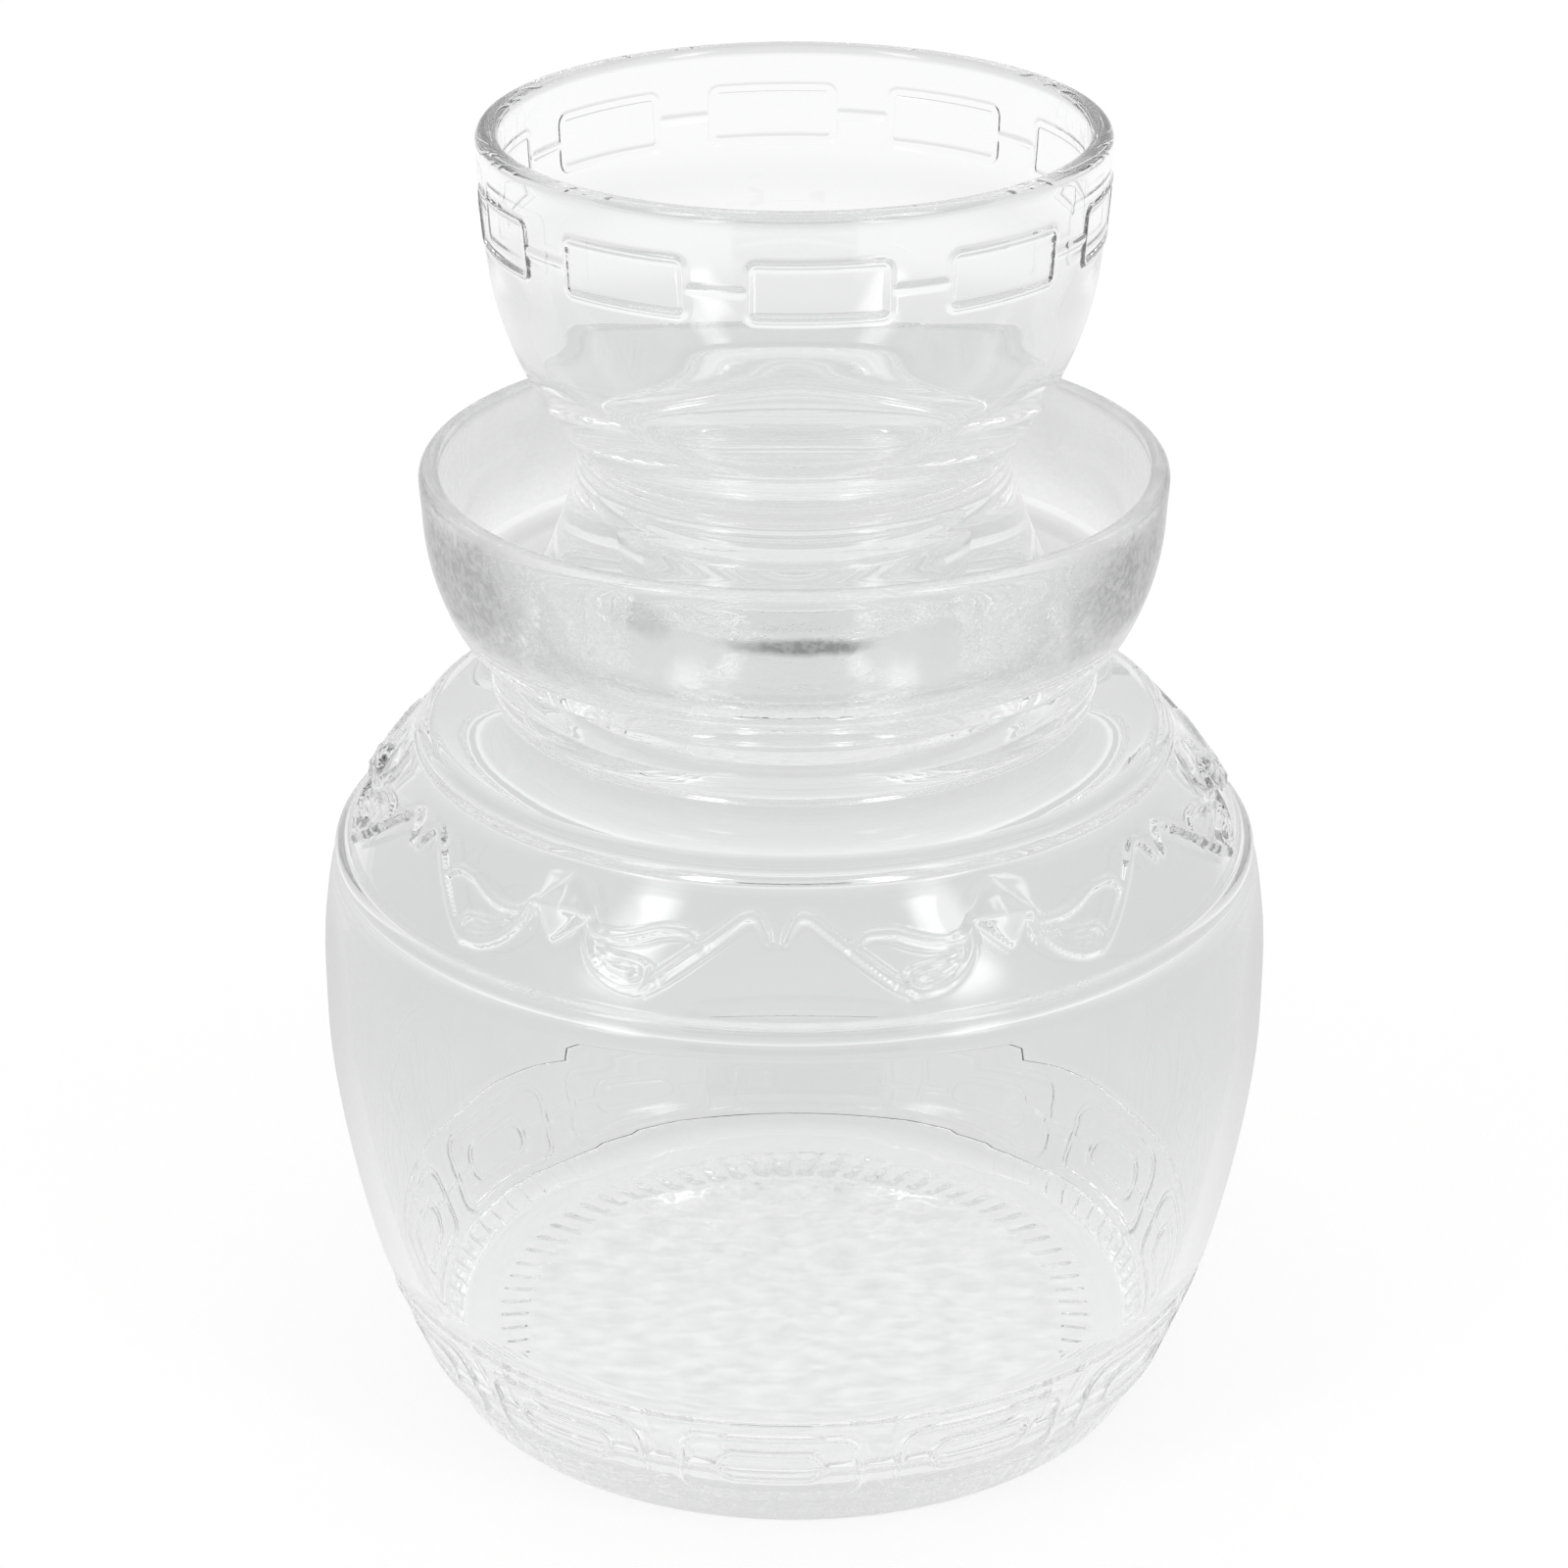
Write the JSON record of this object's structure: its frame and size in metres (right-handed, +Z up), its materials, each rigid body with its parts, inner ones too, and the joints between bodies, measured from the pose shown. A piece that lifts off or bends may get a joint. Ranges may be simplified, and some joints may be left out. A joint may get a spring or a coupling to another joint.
{
  "type": "water seal pickle jar",
  "caption": "Round clear glass fermenting jar with a water moat round its mouth and a bowl-topped lid whose hollow skirt stands in the moat.",
  "frame": {"origin": "on the jar's axis, at the level that it stands on", "axes": "+Z up along the jar's axis from the standing ring to the rim of the bowl on the lid; the front of the picture looks along +Y"},
  "size_m": [0.1806, 0.1806, 0.25],
  "materials": {
    "jar_glass": "clear, smooth and glossy, with the pressed surface of the moat a little wavy",
    "lid_glass": "clear, smooth and glossy pressed glass"
  },
  "bodies": {
    "jar": {"jar_body": "jar_glass", "water_moat": "jar_glass"},
    "lid": {"lid": "lid_glass"}
  },
  "joints": [
    {"name": "lid_lift", "type": "slide", "parent": "jar", "child": "lid", "axis": [0, 0, 1], "range_m": [0, 0.07]}
  ]
}
